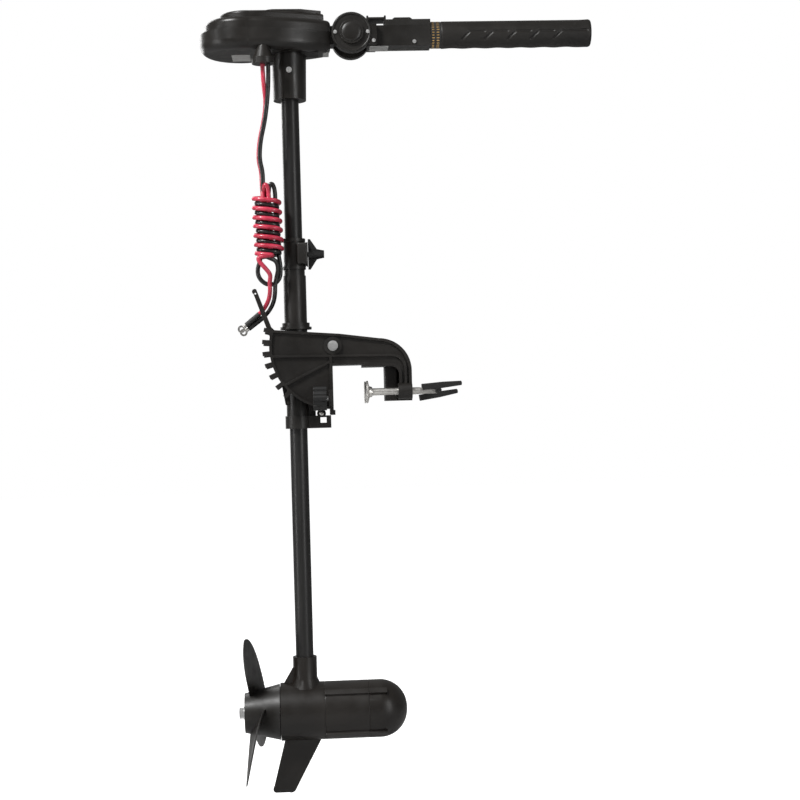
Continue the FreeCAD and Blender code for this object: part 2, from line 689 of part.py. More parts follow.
def tiller_cover():
    """Upper skin of the arm, with a bar on two posts over a gap and a pocket for the button."""
    base = S.TillerZ + 12
    rear = span_box((47, -16, base), (74, 16, base + 1.5))
    posts = [span_box((x, -16, base + 1), (x + 3, 16, base + 17)) for x in (45, 73)]
    bar = span_box((45, -16, base + 11), (76, 16, base + 14.5))
    front = span_box((74, -19, base), (S.ArmEnd, 19, base + 10))
    pocket = span_box((86, -7.4, base + 2), (119, 7.4, base + 30))
    return cut(fuse(rear, *posts, bar, front), pocket)


def release_button():
    body = new_body()
    low = S.TillerZ + 17.5
    pad(body, "XZ_Plane", [[
        (86.5, low), (86.5, low + 8), (90, low + 10.5), (115, low + 10.5), (118.5, low + 8),
        (118.5, low),
    ]], "ButtonWidth", symmetric=True)
    return body


def tiller_pin():
    return cylinder((S.TillerX, -32.5, S.TillerZ), ALONG_Y, "TillerPinDia", 65)


def hinge_caps():
    """A raised disc over each cheek."""
    first = S.KnuckleWidth / 2 + 0.4 + S.CheekWidth
    at = [(S.TillerX, first, S.TillerZ), (S.TillerX, -first - 4, S.TillerZ)]
    bores = [(S.TillerX, first - 1, S.TillerZ), (S.TillerX, -first - 1.2, S.TillerZ)]
    return together(*[
        cut(cylinder(a, ALONG_Y, "CheekCapDia", 4), cylinder(b, ALONG_Y, "TillerPinDia", 2.2))
        for a, b in zip(at, bores)
    ])


def tiller_screws():
    """Two screws in each cheek and two in each side of the arm."""
    face = S.KnuckleWidth / 2 + 0.4 + S.CheekWidth
    spots = [(S.TillerX - 26, S.TillerZ, face), (S.TillerX + 26, S.TillerZ, face)]
    spots += [(55, S.TillerZ - 14, 31), (120, S.TillerZ - 14, S.ArmWidth / 2)]
    screws = []
    for x, z, y in spots:
        screws.append(cylinder((x, y, z), ALONG_Y, 6, 1.6))
        screws.append(cylinder((x, -y - 1.6, z), ALONG_Y, 6, 1.6))
    return together(*screws)


def inner_tube():
    """The sliding tube that carries the grip."""
    return ring((S.ArmStart + 5, 0, S.TillerZ), ALONG_X, "InnerTubeDia", "InnerTubeBore", 330)


def speed_switch():
    can = cylinder((180, 0, S.TillerZ), ALONG_X, "InnerTubeBore - 0.4", 40)
    spindle = cylinder((219, 0, S.TillerZ), ALONG_X, 6, 20)
    return fuse(can, spindle)


def dial_ring():
    return ring((S.ArmEnd + 0.5, 0, S.TillerZ), ALONG_X, "RingDia", "InnerTubeDia", "RingLength")


def throttle_grip():
    """A round grip with chamfered ends and a blind bore."""
    length = S.GripEnd - S.GripStart
    radius = S.GripDia / 2
    profile = [
        (0, 219), (0, length), (radius - 6, length), (radius - 1.7, length - 1.7, "arc"),
        (radius, length - 6), (radius, 1), (radius - 1, 0), (11.35, 0), (11.35, 219),
    ]
    return turned(profile, (S.GripStart, 0, S.TillerZ), ALONG_X)


# ---- motor pod ------------------------------------------------------------------------------
def on_pod(x):
    return (x, 0, S.PodZ)


def motor_end_bell():
    """Aft casting with the shaft socket, the skeg and the bearing seat."""
    depth = S.BellFront - S.BellAft
    shell = cylinder(on_pod(S.BellAft), ALONG_X, "PodDia", "BellFront - BellAft")
    socket = cylinder(on_shaft(S.PodZ + 30), UP, "PodSocketDia", S.PodSocketTop - S.PodZ - 30)
    base = cone(on_shaft(S.PodZ + 38), UP, "PodSocketDia + 14", "PodSocketDia", 16)
    gusset = slab("XZ_Plane", [[
        (-98, -477), (-94, -477), (-94, -507), (-116, -507), (-113, -502),
    ]], 8, symmetric=True)
    skeg = slab("XZ_Plane", [[
        (-113, -588), (-54, -588), (-60, -600), (-99, -672), (-104, S.SkegFoot, "arc"),
        (-110, S.SkegFoot), (-130, S.SkegFoot), (-135, -674, "arc"), (-134, -668),
    ]], 7, symmetric=True)
    whole = fuse(shell, socket, base, gusset, skeg)
    inside = cylinder(on_pod(S.BellAft + 8), ALONG_X, "PodBore", depth)
    bearing_seat = cylinder(on_pod(S.BellAft - 1), ALONG_X, "BearingDia", 30)
    shaft_bore = cylinder(on_shaft(S.ShaftFoot), UP, "ShaftDia", 60)
    wire_way = cylinder(on_shaft(S.PodZ + 20), UP, 12, 60)
    seat = ring(on_pod(S.BellAft), ALONG_X, "BearingDia + 12", "BearingDia", 24)
    return fuse(cut(whole, inside, bearing_seat, shaft_bore, wire_way), seat)


def pod_rails(first, last):
    """Four square rails along the pod, a quarter turn apart, between two X stations."""
    rails = []
    for turn in (45, 135, 225, 315):
        rail = box((0, 0, 0), last - first, 9, 8)
        spin = Rotation(ALONG_X, turn)
        offset = spin.multVec(Vector(0, -4.5, 41.5))
        rail.Placement = Placement(Vector(*on_pod(first)) + offset, spin)
        rails.append(rail)
    return rails


def motor_case():
    """Centre can with its four rails."""
    can = cylinder(on_pod(S.BellFront), ALONG_X, "PodDia", "CaseFront - BellFront")
    inside = cylinder(on_pod(S.BellFront - 1), ALONG_X, "PodBore", 80)
    return cut(fuse(can, *pod_rails(S.BellFront, S.CaseFront)), inside)


def motor_nose():
    """Domed front casting."""
    radius = S.PodDia / 2
    straight = S.NoseStraight - S.CaseFront
    length = S.NoseTip - S.CaseFront
    middle = (radius * 0.72, straight + (length - straight) * 0.72, "arc")
    profile = [
        (0, 6), (0, length), (4, length), middle, (radius, straight), (radius, 0),
        (S.PodBore / 2, 0), (S.PodBore / 2, 6),
    ]
    dome = turned(profile, on_pod(S.CaseFront), ALONG_X)
    inside = cylinder(on_pod(S.CaseFront - 1), ALONG_X, "PodBore", 7)
    nose = cut(fuse(dome, *pod_rails(S.CaseFront, S.CaseFront + 28)), inside)
    seat = cylinder(on_pod(S.CaseFront + 5), ALONG_X, "BearingDia", 14)
    return cut(nose, seat)


def seals():
    """Two casing rings and the double lip seal on the propeller shaft."""
    rings = []
    for x in (S.BellFront, S.CaseFront):
        rings.append(ring(on_pod(x - 1.5), ALONG_X, "PodBore - 0.4", "PodBore - 3.4", 3))
    lip = ring(on_pod(S.BellAft + 1), ALONG_X, "BearingDia", "AxleDia + RunningGap", 6)
    return together(*rings, lip)


def bearings():
    return together(*[
        ring(on_pod(x), ALONG_X, "BearingDia", "AxleDia + RunningGap", "BearingWidth")
        for x in (S.BellAft + 12, S.CaseFront + 9)
    ])


def through_bolts():
    """Two long bolts that draw the pod's three castings together."""
    return together(*[
        cylinder((S.BellAft + 9, y, S.PodZ), ALONG_X, 5, S.CaseFront - S.BellAft - 4)
        for y in (-37, 37)
    ])


def field_magnets():
    """Two curved magnets inside the can."""
    tube = ring(on_pod(S.BellFront + 4), ALONG_X, "PodBore - 1", "MagnetInside + 2", 58)
    gap = span_box((S.BellFront, -50, S.PodZ - 12), (S.CaseFront, 50, S.PodZ + 12))
    return cut(tube, gap)


def brush_holder():
    """Plate with a box for each brush, round the commutator."""
    plate = ring(on_pod(-74), ALONG_X, 70, 30, 3)
    boxes = [span_box((-71.5, -6, z), (-60, 6, z + 14)) for z in (S.PodZ + 17, S.PodZ - 31)]
    slots = [span_box((-70.5, -4, z), (-61, 4, z + 20)) for z in (S.PodZ + 15, S.PodZ - 35)]
    bolts = [cylinder((-80, y, S.PodZ), ALONG_X, 5.4, 20) for y in (-37, 37)]
    return cut(fuse(plate, *boxes), *slots, *bolts)


def carbon_brushes():
    spots = [(S.PodZ + 12.4), (S.PodZ - 29.4)]
    return together(*[span_box((-70.4, -3.9, z), (-61.1, 3.9, z + 17)) for z in spots])


# ---- propeller and armature -----------------------------------------------------------------
def armature_shaft():
    return cylinder(on_pod(-185), ALONG_X, "AxleDia", 218)


def armature_core():
    core = cylinder(on_pod(-46), ALONG_X, "CoreDia", "CoreLength")
    slots = []
    for i in range(12):
        turn = math.radians(30 * i + 15)
        at = (-48, 26 * math.sin(turn), S.PodZ + 26 * math.cos(turn))
        slots.append(cylinder(at, ALONG_X, 6, 70))
    bore = cylinder(on_pod(-50), ALONG_X, "AxleDia", 80)
    return cut(core, *slots, bore)


def commutator():
    return ring(on_pod(-74), ALONG_X, "CommutatorDia", "AxleDia", "CommutatorLength")


def blade_angle(share):
    """Leading and trailing angles, in degrees past the tip's own, from root (0) to tip (1)."""
    middle = -34 * (1 - share) ** 1.2
    half = 38 * (1 - share**1.6) ** 0.7 + 1.5
    return middle - half, middle + half


def blade_face(tip_turn, side):
    """One face of a blade: a helical patch, thickest along its middle."""
    rows = []
    steps = 8
    for i in range(steps + 1):
        share = i / steps
        radius = 24 + (S.PropDia / 2 - 24) * share
        first, last = blade_angle(share)
        row = []
        for k in range(steps + 1):
            across = k / steps
            turn = first + (last - first) * across
            x = -165.5 - 8 * share**2 - turn * S.PropPitch / 360
            thick = 0.6 + S.BladeThickness * (1 - 0.8 * share) * math.sin(math.pi * across) / 2
            angle = math.radians(tip_turn + turn)
            row.append(Vector(x + side * thick, -radius * math.sin(angle),
                              S.PodZ + radius * math.cos(angle)))
        rows.append(row)
    surface = Part.BSplineSurface()
    surface.interpolate(rows)
    return surface


def blade(tip_turn):
    """A closed blade: two faces joined by narrow strips along their shared edges."""
    faces = [blade_face(tip_turn, side) for side in (-1, 1)]
    shells = [surface.toShape() for surface in faces]
    low_u, high_u, low_v, high_v = faces[0].bounds()
    borders = [(s.uIso(low_u), s.uIso(high_u), s.vIso(low_v), s.vIso(high_v)) for s in faces]
    for first, second in zip(*borders):
        shells.append(Part.makeRuledSurface(first.toShape(), second.toShape()))
    sewn = Part.makeShell([face for shell in shells for face in shell.Faces])
    sewn.sewShape()
    return Part.makeSolid(sewn)


def propeller():
    """Tapered hub with three swept blades, as one moulding."""
    hub = Part.makeCone(31, 44, S.HubFront - S.HubAft, Vector(*on_pod(S.HubAft)), ALONG_X)
    recess = Part.makeCone(28.5, 40.5, 44, Vector(*on_pod(S.HubFront - 44)), ALONG_X)
    centre = Part.makeCylinder(12, S.HubFront - S.HubAft - 6, Vector(*on_pod(S.HubAft)), ALONG_X)
    shell = hub.cut(recess).fuse(centre)
    solid_hub = Part.makeCone(30, 43, S.HubFront - S.HubAft, Vector(*on_pod(S.HubAft)), ALONG_X)
    for tip_turn in (18, 138, 258):
        shell = shell.fuse(blade(tip_turn).cut(solid_hub))
    bore = Part.makeCylinder(S.AxleDia / 2, 90, Vector(*on_pod(S.HubAft - 10)), ALONG_X)
    slot = Part.makeCylinder(2.5, 26, Vector(-134, 0, S.PodZ - 13), UP)
    item = doc.addObject("Part::Feature")
    item.Shape = shell.cut(bore).cut(slot)
    return item


def drive_pin():
    pin = cylinder((-134, 0, S.PodZ - 11.5), UP, 5, 23)
    return cut(pin, cylinder(on_pod(-140), ALONG_X, "AxleDia", 12))


def prop_nut():
    """Washer and dome nut behind the hub."""
    washer = ring(on_pod(S.HubAft - 2), ALONG_X, 20, "AxleDia", 2)
    thread = cylinder(on_pod(S.HubAft - 9.5), ALONG_X, "AxleDia", 8)
    return fuse(washer, cut(hexagon(on_pod(S.HubAft - 9), ALONG_X, 15, 7), thread))


# ---- battery leads --------------------------------------------------------------------------
UPPER_ROUTE = [
    (-116.5, -50, 482), (-116.5, -50, 448), (-115.5, -49, 414), (-120, -46, 384),
    (-128, -41, 353), (-130.5, -36, 326), (-126, -30, 307), (-126, -30, 288),
]
RED_TAIL = [
    (-119, -30, 126), (-119, -30, 118), (-121, -22.5, 107), (-127, -16, 95), (-136, -13, 85),
    (-146, -11, 77),
]
BLACK_TAIL = [
    (-111, -30, 126), (-111, -30, 117), (-113.5, -20, 102.5), (-121, -13, 89), (-131, -9, 79),
    (-142, -7, 71),
]


def tube_path(corners):
    """Straight runs joined by tangent arcs, each as large as its two runs allow."""
    points = [Vector(*p) for p in corners]
    edges = []
    radii = []
    start = points[0]
    for before, here, after in zip(points, points[1:], points[2:]):
        back = (before - here).normalize()
        on = (after - here).normalize()
        turn = math.pi - back.getAngle(on)
        reach = 0.45 * min((before - here).Length, (after - here).Length)
        radius = reach / math.tan(turn / 2)
        radii.append(radius)
        enter = here + back * reach
        leave = here + on * reach
        middle = here + (back + on).normalize() * (radius / math.cos(turn / 2) - radius)
        edges.append(Part.LineSegment(start, enter).toShape())
        edges.append(Part.Arc(enter, middle, leave).toShape())
        start = leave
    edges.append(Part.LineSegment(start, points[-1]).toShape())
    return Part.Wire(edges), radii


def lead(label, corners):
    """One lead as a round tube along its route."""
    path, radii = tube_path(corners)
    tangent = path.Edges[0].tangentAt(path.Edges[0].FirstParameter)
    circle = Part.makeCircle(S.LeadDia / 2, Vector(*corners[0]), tangent)
    shape = path.makePipe(Part.Face(Part.Wire(circle)))
    solid = shape.Solids[0] if shape.Solids else Part.makeSolid(shape.Shells[0])
    expected = math.pi * (S.LeadDia / 2) ** 2 * path.Length
    print(f"{label}: length {path.Length:.0f}, least radius {min(radii):.1f},"
          f" volume off by {abs(solid.Volume / expected - 1):.4f}")
    item = doc.addObject("Part::Feature")
    item.Shape = solid
    return item


def shifted(corners, dx, dy):
    return [(x + dx, y + dy, z) for x, y, z in corners]


def oval(half_x, half_y):
    """An oval about the hank's own axis, as four arcs."""
    x, y = S.HankX, S.HankY
    side_x, side_y = 0.75 * half_x, 0.72 * half_y
    return [
        (x - half_x, y), (x - side_x, y - side_y, "arc"), (x, y - half_y),
        (x + side_x, y - side_y, "arc"), (x + half_x, y), (x + side_x, y + side_y, "arc"),
        (x, y + half_y), (x - side_x, y + side_y, "arc"),
    ]


def lead_hank():
    """The outer shape of the wound bundle, with its loops above and below."""
    wraps = slab("XY_Plane", [oval(24, 16)], "WrapTop - WrapFoot", S.WrapFoot)
    loops = slab("XY_Plane", [oval(18, 8)], "HankTop - HankFoot", S.HankFoot)
    return fuse(wraps, loops)


def sleeve_and_terminal(end, aim):
    """A heat-shrink sleeve and a ring terminal in line with a lead's end."""
    along = Vector(*aim).normalize()
    start = Vector(*end)
    sleeve = cylinder(start, along, "LeadDia + 1", 16)
    barrel = cylinder(start + along * 16, along, 6, 6)
    eye_at = start + along * 26
    across = (ALONG_Y - along * along.dot(ALONG_Y)).normalize()
    eye = cut(
        cylinder(eye_at - across * 0.8, across, 12, 1.6),
        cylinder(eye_at - across * 2, across, 6, 4),
    )
    return sleeve, fuse(barrel, eye)


def build_leads():
    half = S.LeadGap / 2
    node("lead_red_upper", lead("lead_red_upper", shifted(UPPER_ROUTE, -half, 0)))
    node("lead_black_upper", lead("lead_black_upper", shifted(UPPER_ROUTE, half, 0)))
    node("lead_hank", lead_hank())
    node("lead_red_tail", lead("lead_red_tail", RED_TAIL))
    node("lead_black_tail", lead("lead_black_tail", BLACK_TAIL))
    pieces = [
        sleeve_and_terminal(route[-1], Vector(*route[-1]) - Vector(*route[-2]))
        for route in (RED_TAIL, BLACK_TAIL)
    ]
    node("lead_sleeves", together(*[sleeve for sleeve, terminal in pieces]))
    node("ring_terminals", together(*[terminal for sleeve, terminal in pieces]))


# ---- assembly -------------------------------------------------------------------------------
def build_bracket():
    plate = side_plate()
    node("bracket_near_side", near_side(plate))
    node("bracket_far_side", mirrored(plate))
    node("bracket_yoke", bracket_yoke())
    node("pivot_bolt", pivot_bolt())
    node("bracket_nuts", bracket_nuts())
    node("steady_knob", steady_knob())
    node("steady_screw", steady_screw())


def build_swivel():
    node("swivel_body", swivel_body())
    node("swivel_bushes", swivel_bushes())
    node("lever_pin", lever_pin())
    node("tilt_lever", tilt_lever())
    node("depth_collar", depth_collar())
    node("depth_stud", depth_stud())
    node("depth_knob", depth_knob())


def build_clamps():
    for side, sign, lean, turn in (("near", -1, -4.5, 0), ("far", 1, -8.9, 180)):
        y = sign * S.ClampSpacing / 2
        node(f"clamp_pad_{side}", clamp_pad(y))
        node(f"clamp_screw_{side}", clamp_screw(y))
        node(f"clamp_handle_{side}", together(clamp_handle(y, lean, turn), handle_pin(y)))


def build_head():
    node("shaft_tube", shaft_tube())
    node("head_lower_case", head_lower_case())
    node("head_upper_case", head_upper_case())
    node("top_panel", top_panel())
    node("control_board", control_board())
    node("case_screws", case_screws())
    node("socket_screw", socket_screw())
    node("lead_grommet", lead_grommet())


def build_tiller():
    node("tiller_arm", tiller_arm())
    node("tiller_cover", tiller_cover())
    node("release_button", release_button())
    node("tiller_pin", tiller_pin())
    node("hinge_caps", hinge_caps())
    node("tiller_screws", tiller_screws())
    node("inner_tube", inner_tube())
    node("speed_switch", speed_switch())
    node("dial_ring", dial_ring())
    node("throttle_grip", throttle_grip())


def build_motor():
    node("motor_end_bell", motor_end_bell())
    node("motor_case", motor_case())
    node("motor_nose", motor_nose())
    node("seals", seals())
    node("bearings", bearings())
    node("through_bolts", through_bolts())
    node("field_magnets", field_magnets())
    node("brush_holder", brush_holder())
    node("carbon_brushes", carbon_brushes())
    node("armature_shaft", armature_shaft())
    node("armature_core", armature_core())
    node("commutator", commutator())
    node("propeller", propeller())
    node("drive_pin", drive_pin())
    node("prop_nut", prop_nut())


def check_and_export():
    """Stop on any failed feature or bad shape, then write one file for each node."""
    doc.recompute()
    for item in doc.Objects:
        faults = {"Invalid", "Error"} & set(item.State)
        if faults:
            raise RuntimeError(f"{item.Label} ({item.TypeId}) is {faults}")
    for item in NODES:
        if item.Shape.isNull() or not item.Shape.isValid() or not item.Shape.Solids:
            raise RuntimeError(f"{item.Label} has no valid solid")
    os.makedirs("parts", exist_ok=True)
    for item in NODES:
        item.Shape.exportStep(f"parts/{item.Label}.step")
        box_found = item.Shape.BoundBox
        print(f"{item.Label}: {len(item.Shape.Solids)} solids, {item.Shape.Volume / 1000:.1f} cm3,"
              f" Z {box_found.ZMin:.1f} to {box_found.ZMax:.1f}")


build_bracket()
build_swivel()
build_clamps()
build_head()
build_tiller()
build_motor()
build_leads()
check_and_export()
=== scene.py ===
import json
import math
import random

import bmesh
import bpy
from mathutils import Matrix, Vector

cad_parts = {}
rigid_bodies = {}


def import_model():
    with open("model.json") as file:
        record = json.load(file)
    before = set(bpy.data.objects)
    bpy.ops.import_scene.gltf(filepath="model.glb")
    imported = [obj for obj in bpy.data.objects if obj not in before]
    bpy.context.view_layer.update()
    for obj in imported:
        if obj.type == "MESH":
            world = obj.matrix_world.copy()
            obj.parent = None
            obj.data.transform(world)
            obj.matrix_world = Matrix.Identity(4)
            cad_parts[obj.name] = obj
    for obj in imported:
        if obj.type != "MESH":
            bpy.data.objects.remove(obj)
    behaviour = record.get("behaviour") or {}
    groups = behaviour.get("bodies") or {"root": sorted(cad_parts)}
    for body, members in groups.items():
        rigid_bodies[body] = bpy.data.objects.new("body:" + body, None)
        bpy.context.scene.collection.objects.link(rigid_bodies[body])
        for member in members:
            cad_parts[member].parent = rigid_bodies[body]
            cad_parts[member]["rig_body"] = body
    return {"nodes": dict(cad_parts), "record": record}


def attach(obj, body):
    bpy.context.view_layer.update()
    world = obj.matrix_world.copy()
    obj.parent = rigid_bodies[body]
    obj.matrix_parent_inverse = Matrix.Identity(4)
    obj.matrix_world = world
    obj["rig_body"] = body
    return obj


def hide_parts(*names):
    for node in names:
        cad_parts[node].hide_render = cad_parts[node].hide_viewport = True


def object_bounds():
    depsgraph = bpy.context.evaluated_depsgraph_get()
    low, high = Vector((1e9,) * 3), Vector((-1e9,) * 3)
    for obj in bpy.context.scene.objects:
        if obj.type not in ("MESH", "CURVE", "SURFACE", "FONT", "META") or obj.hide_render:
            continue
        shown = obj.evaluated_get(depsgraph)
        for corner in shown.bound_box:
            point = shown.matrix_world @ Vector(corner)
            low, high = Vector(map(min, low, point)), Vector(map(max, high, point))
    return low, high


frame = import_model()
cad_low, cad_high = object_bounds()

# Trolling motor. Lengths are written in millimetres and turned into metres by MM.
MM = 0.001
UP = Vector((0, 0, 1))
NODES = frame["nodes"]
TILLER_Z = 525


# ---- node material helpers ------------------------------------------------------------------
def new_material(name, colour, roughness, metallic=0.0, **sockets):
    """A principled material, with its node tree and its shader."""
    material = bpy.data.materials.new(name)
    material.use_nodes = True
    tree = material.node_tree
    shader = tree.nodes["Principled BSDF"]
    shader.inputs["Base Color"].default_value = (*colour, 1)
    shader.inputs["Roughness"].default_value = roughness
    shader.inputs["Metallic"].default_value = metallic
    for socket, value in sockets.items():
        shader.inputs[socket.replace("_", " ")].default_value = value
    return material, tree, shader


def coordinates(tree, stretch=(1, 1, 1)):
    source = tree.nodes.new("ShaderNodeTexCoord")
    mapping = tree.nodes.new("ShaderNodeMapping")
    mapping.inputs["Scale"].default_value = stretch
    tree.links.new(source.outputs["Object"], mapping.inputs["Vector"])
    return mapping.outputs["Vector"]


def noise(tree, vector, scale, detail=4.0, rough=0.55):
    node = tree.nodes.new("ShaderNodeTexNoise")
    node.inputs["Scale"].default_value = scale
    node.inputs["Detail"].default_value = detail
    node.inputs["Roughness"].default_value = rough
    tree.links.new(vector, node.inputs["Vector"])
    return node.outputs["Fac"]


def ramp(tree, factor, stops):
    node = tree.nodes.new("ShaderNodeValToRGB")
    node.color_ramp.elements[0].position = stops[0][0]
    node.color_ramp.elements[0].color = (*stops[0][1], 1)
    node.color_ramp.elements[1].position = stops[-1][0]
    node.color_ramp.elements[1].color = (*stops[-1][1], 1)
    for position, colour in stops[1:-1]:
        node.color_ramp.elements.new(position).color = (*colour, 1)
    tree.links.new(factor, node.inputs["Fac"])
    return node.outputs["Color"]


def spread(tree, factor, low, high):
    """The factor moved from its middle range onto low to high."""
    node = tree.nodes.new("ShaderNodeMapRange")
    node.inputs["From Min"].default_value = 0.3
    node.inputs["From Max"].default_value = 0.7
    node.inputs["To Min"].default_value = low
    node.inputs["To Max"].default_value = high
    tree.links.new(factor, node.inputs["Value"])
    return node.outputs["Result"]


def mixed(tree, factor, first, second, blend="MIX"):
    node = tree.nodes.new("ShaderNodeMix")
    node.data_type = "RGBA"
    node.blend_type = blend
    tree.links.new(factor, node.inputs["Factor"])
    for socket, value in ((node.inputs["A"], first), (node.inputs["B"], second)):
        if isinstance(value, tuple):
            socket.default_value = (*value, 1)
        else:
            tree.links.new(value, socket)
    return node.outputs["Result"]


def bump(tree, shader, height, strength, distance):
    node = tree.nodes.new("ShaderNodeBump")
    node.inputs["Strength"].default_value = strength
    node.inputs["Distance"].default_value = distance
    tree.links.new(height, node.inputs["Height"])
    tree.links.new(node.outputs["Normal"], shader.inputs["Normal"])
    return node


def edge_wear(tree):
    """High on sharp outer edges, from the surface's own pointiness."""
    geometry = tree.nodes.new("ShaderNodeNewGeometry")
    node = tree.nodes.new("ShaderNodeMapRange")
    node.inputs["From Min"].default_value = 0.53
    node.inputs["From Max"].default_value = 0.64
    node.inputs["To Max"].default_value = 0.6
    tree.links.new(geometry.outputs["Pointiness"], node.inputs["Value"])
    return node.outputs["Result"]


def moulded(name, colour, roughness, grain=900, depth=0.00006, wear=(0.05, 0.049, 0.047)):
    """Moulded black plastic: fine spark grain, faint cloudiness, rubbed edges."""
    material, tree, shader = new_material(name, colour, roughness, Specular_IOR_Level=0.42)
    vector = coordinates(tree)
    cloud = noise(tree, vector, 14)
    dark = tuple(c * 0.7 for c in colour)
    light = tuple(c * 1.4 for c in colour)
    base = ramp(tree, cloud, [(0.3, dark), (0.7, light)])
    worn = mixed(tree, edge_wear(tree), base, wear)
    tree.links.new(worn, shader.inputs["Base Color"])
    smear = noise(tree, vector, 45, 3)
    tree.links.new(spread(tree, smear, roughness - 0.06, roughness + 0.08),
                   shader.inputs["Roughness"])
    bump(tree, shader, noise(tree, vector, grain, 2, 0.6), 0.35, depth)
    return material


def composite_tube():
    """Wound composite: long faint streaks along the shaft under a satin surface."""
    material, tree, shader = new_material(
        "composite_tube", (0.014, 0.014, 0.014), 0.34, Specular_IOR_Level=0.4
    )
    streaks = noise(tree, coordinates(tree, (1, 1, 0.03)), 320, 3)
    base = ramp(tree, streaks, [(0.3, (0.009, 0.009, 0.009)), (0.7, (0.022, 0.021, 0.02))])
    tree.links.new(base, shader.inputs["Base Color"])
    haze = noise(tree, coordinates(tree), 9)
    tree.links.new(spread(tree, haze, 0.3, 0.42), shader.inputs["Roughness"])
    bump(tree, shader, streaks, 0.15, 0.00005)
    return material


def metal(name, colour, roughness, direction=(1, 1, 1), scale=600):
    """Turned or brushed metal: fine lines across one direction and slight staining."""
    material, tree, shader = new_material(name, colour, roughness, 1.0)
    lines = noise(tree, coordinates(tree, direction), scale, 3)
    stain = noise(tree, coordinates(tree), 60)
    dull = tuple(c * 0.72 for c in colour)
    tree.links.new(ramp(tree, stain, [(0.3, dull), (0.62, colour)]), shader.inputs["Base Color"])
    tree.links.new(spread(tree, lines, roughness * 0.7, roughness * 1.5), shader.inputs["Roughness"])
    bump(tree, shader, lines, 0.12, 0.00004)
    return material


def insulation(name, colour, dark):
    """Glossy PVC insulation, slightly uneven in colour and with small scuffs."""
    material, tree, shader = new_material(name, colour, 0.32, Coat_Weight=0.25)
    vector = coordinates(tree)
    tree.links.new(ramp(tree, noise(tree, vector, 55), [(0.32, dark), (0.62, colour)]),
                   shader.inputs["Base Color"])
    scuff = noise(tree, vector, 240, 4)
    tree.links.new(spread(tree, scuff, 0.24, 0.44), shader.inputs["Roughness"])
    bump(tree, shader, scuff, 0.12, 0.0001)
    return material


def printed_label():
    """Blank pale grey foil label with a faint weave of handling marks."""
    material, tree, shader = new_material("blank_label", (0.42, 0.42, 0.41), 0.42)
    marks = noise(tree, coordinates(tree, (1, 4, 1)), 90, 5)
    tree.links.new(ramp(tree, marks, [(0.3, (0.3, 0.3, 0.29)), (0.7, (0.52, 0.52, 0.5))]),
                   shader.inputs["Base Color"])
    bump(tree, shader, marks, 0.1, 0.00005)
    return material


MATERIALS = {
    "bracket_plastic": moulded("bracket_plastic", (0.011, 0.0095, 0.0082), 0.4, 700, 0.0001),
    "head_plastic": moulded("head_plastic", (0.013, 0.0115, 0.01), 0.34, 1100, 0.00005),
    "shaft_composite": composite_tube(),
    "pod_paint": moulded("pod_paint", (0.013, 0.0108, 0.009), 0.36, 500, 0.00008),
    "prop_plastic": moulded("prop_plastic", (0.011, 0.0095, 0.008), 0.42, 800, 0.00006),
    "knob_plastic": moulded("knob_plastic", (0.009, 0.009, 0.009), 0.42, 900, 0.00008),
    "grip_rubber": moulded("grip_rubber", (0.012, 0.0105, 0.009), 0.46, 650, 0.00014),
    "stainless": metal("stainless", (0.78, 0.78, 0.77), 0.38),
    "nickel": metal("nickel", (0.84, 0.82, 0.78), 0.36, (6, 1, 1)),
    "dial_plastic": moulded("dial_plastic", (0.008, 0.008, 0.008), 0.3),
    "inner_metal": metal("inner_metal", (0.6, 0.6, 0.62), 0.3),
    "steel": metal("steel", (0.5, 0.5, 0.5), 0.3),
    "copper": metal("copper", (0.75, 0.38, 0.2), 0.28),
    "ferrite": moulded("ferrite", (0.04, 0.04, 0.042), 0.6),
    "carbon": moulded("carbon", (0.02, 0.02, 0.02), 0.55),
    "nylon": moulded("nylon", (0.6, 0.59, 0.54), 0.5, wear=(0.8, 0.8, 0.76)),
    "circuit_board": moulded("circuit_board", (0.02, 0.14, 0.05), 0.45),
    "seal_rubber": moulded("seal_rubber", (0.009, 0.009, 0.009), 0.48),
    "lead_red": insulation("lead_red", (0.66, 0.05, 0.1), (0.42, 0.02, 0.045)),
    "lead_black": insulation("lead_black", (0.014, 0.013, 0.013), (0.006, 0.006, 0.006)),
    "tinned": metal("tinned", (0.86, 0.84, 0.8), 0.26),
    "label": printed_label(),
    "gold_ink": metal("gold_ink", (0.85, 0.55, 0.22), 0.35),
}
SLOT_OF = {part["node"]: part["material_slot"] for part in frame["record"]["subparts"]}


# ---- mesh helpers ---------------------------------------------------------------------------
def add_piece(name, mesh, body, slot, material=None, replaces=()):
    piece = bpy.data.objects.new(name, mesh)
    bpy.context.scene.collection.objects.link(piece)
    mesh.materials.clear()
    mesh.materials.append(MATERIALS[material or slot])
    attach(piece, body)
    if replaces:
        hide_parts(*replaces)
    return piece


def from_bmesh(name, work):
    mesh = bpy.data.meshes.new(name)
    bmesh.ops.recalc_face_normals(work, faces=work.faces)
    work.to_mesh(mesh)
    work.free()
    mesh.shade_smooth()
    return mesh


def soften(piece, width, segments=2, limit=32):
    """Round the hard edges and keep the flat faces flat."""
    bevel = piece.modifiers.new("Bevel", "BEVEL")
    bevel.width = width * MM
    bevel.segments = segments
    bevel.limit_method = "ANGLE"
    bevel.angle_limit = math.radians(limit)
    bevel.miter_outer = "MITER_ARC"
    bevel.use_clamp_overlap = True
    normals = piece.modifiers.new("Normals", "WEIGHTED_NORMAL")
    normals.keep_sharp = True
    return piece


